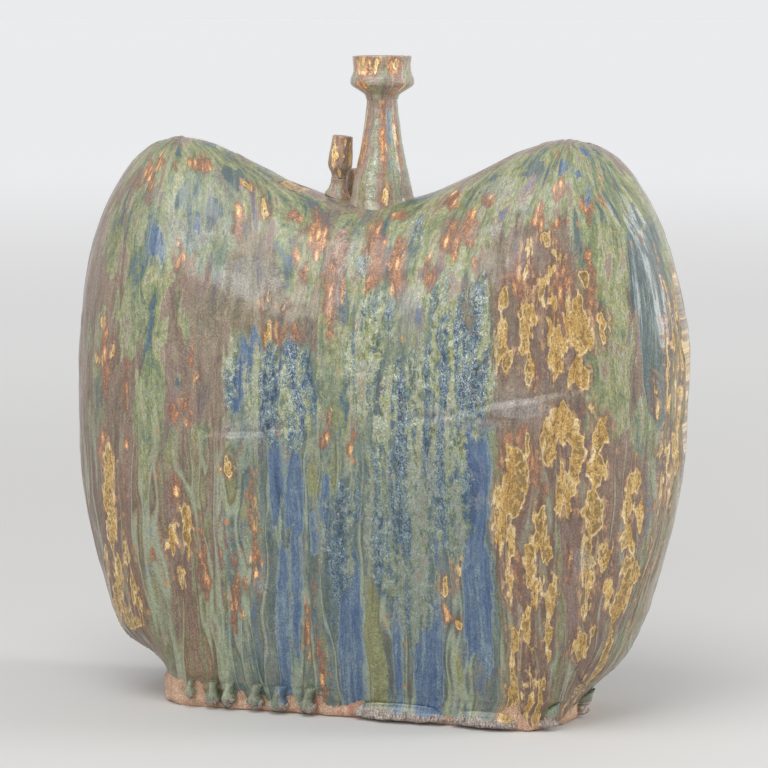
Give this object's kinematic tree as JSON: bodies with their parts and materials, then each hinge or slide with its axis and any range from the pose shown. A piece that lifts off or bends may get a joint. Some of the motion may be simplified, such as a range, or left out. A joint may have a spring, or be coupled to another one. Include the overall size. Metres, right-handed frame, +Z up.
{
  "type": "ceramic vase",
  "caption": "Tall flat slab-built stoneware vase with high rounded shoulders, a central cupped neck, small side spouts, a bare clay foot and frozen glaze runs.",
  "frame": {"origin": "centre of the foot's flat underside, on the surface that the vase stands on", "axes": "+Z up along the neck, +X towards the vase's right end as seen from its front, -Y out of the front face"},
  "size_m": [0.4461, 0.1646, 0.4596],
  "materials": {
    "bare_clay": "unglazed pinkish-buff grogged stoneware, matte",
    "body_glaze": "glossy streaked drip glaze in brown-purple, olive, teal and blue with ochre runs",
    "neck_glaze": "glossy streaked glaze in green, mauve and orange-ochre",
    "spout_glaze": "glossy ochre-yellow glaze streaked with mauve brown",
    "run_glaze": "thick pooled glaze with kiln grit, grey-pink and teal"
  },
  "bodies": {
    "root": {"foot_slab": "bare_clay", "front_lower_wall": "body_glaze", "back_lower_wall": "body_glaze", "front_upper_wall": "body_glaze", "back_upper_wall": "body_glaze", "neck_tube": "neck_glaze", "neck_cup": "neck_glaze", "side_spout_stem": "spout_glaze", "side_spout_cup": "spout_glaze", "rear_spout_stem": "spout_glaze", "rear_spout_cup": "spout_glaze", "front_run_1": "run_glaze", "front_run_2": "run_glaze", "front_run_3": "run_glaze", "front_run_4": "run_glaze", "front_run_5": "run_glaze", "front_run_6": "run_glaze", "front_run_7": "run_glaze", "front_run_8": "run_glaze", "front_pool_1": "run_glaze", "front_pool_2": "run_glaze", "back_run_1": "run_glaze", "back_run_2": "run_glaze", "back_run_3": "run_glaze", "back_run_4": "run_glaze", "back_pool_1": "run_glaze"}
  },
  "joints": []
}
